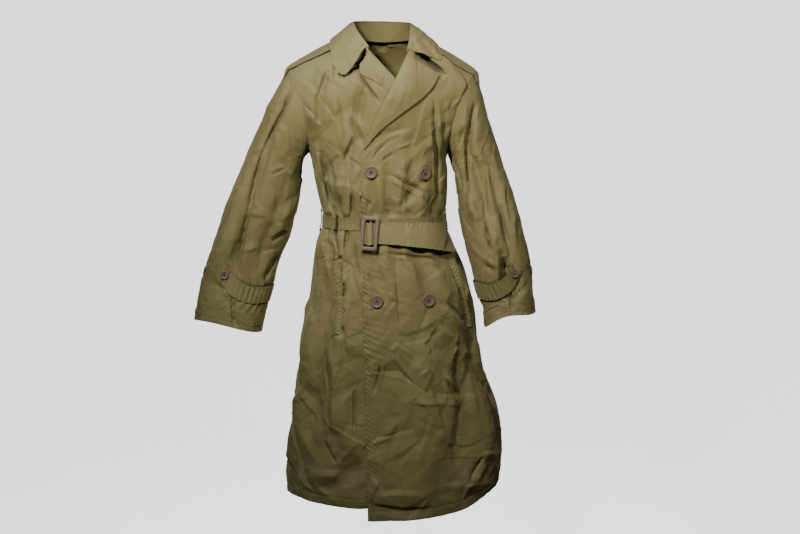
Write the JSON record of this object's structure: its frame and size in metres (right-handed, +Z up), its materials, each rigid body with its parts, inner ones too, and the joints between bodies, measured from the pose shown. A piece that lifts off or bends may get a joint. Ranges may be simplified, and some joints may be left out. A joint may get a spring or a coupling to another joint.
{
  "type": "double-breasted belted raincoat",
  "caption": "Thigh-length double-breasted raincoat in olive coated cloth, belted at the waist, with notched collar, shoulder loops, cuff straps and slanted pockets, hollow as worn.",
  "frame": {"origin": "on the coat's centre line, between the shoulder points of the neck, where the wearer's shoulders carry it", "axes": "+Z up from hem to neck, the front faces -Y, +X towards the wearer's left sleeve"},
  "size_m": [0.7973, 0.3943, 1.1273],
  "materials": {
    "olive_cloth": "smooth coated nylon, crinkled, with a soft sheen",
    "belt_loop_thread": "dull woven tape and thread",
    "brown_plastic": "moulded, half matt"
  },
  "bodies": {
    "root": {"back": "olive_cloth", "front_left": "olive_cloth", "front_right": "olive_cloth", "sleeve_left": "olive_cloth", "sleeve_right": "olive_cloth", "collar_stand": "olive_cloth", "collar_fall": "olive_cloth", "lapel_left": "olive_cloth", "lapel_right": "olive_cloth", "shoulder_loop_left": "olive_cloth", "shoulder_loop_right": "olive_cloth", "cuff_strap_left": "olive_cloth", "cuff_strap_right": "olive_cloth", "belt_waist": "olive_cloth", "belt_tail": "olive_cloth", "pocket_welt_left": "olive_cloth", "pocket_welt_right": "olive_cloth", "belt_loop_left": "belt_loop_thread", "belt_loop_right": "belt_loop_thread", "belt_keeper": "belt_loop_thread", "buckle": "brown_plastic", "button_front_1": "brown_plastic", "button_front_2": "brown_plastic", "button_front_3": "brown_plastic", "button_front_4": "brown_plastic", "button_cuff_left_1": "brown_plastic", "button_cuff_left_2": "brown_plastic", "button_cuff_right_1": "brown_plastic", "button_cuff_right_2": "brown_plastic"}
  },
  "joints": []
}
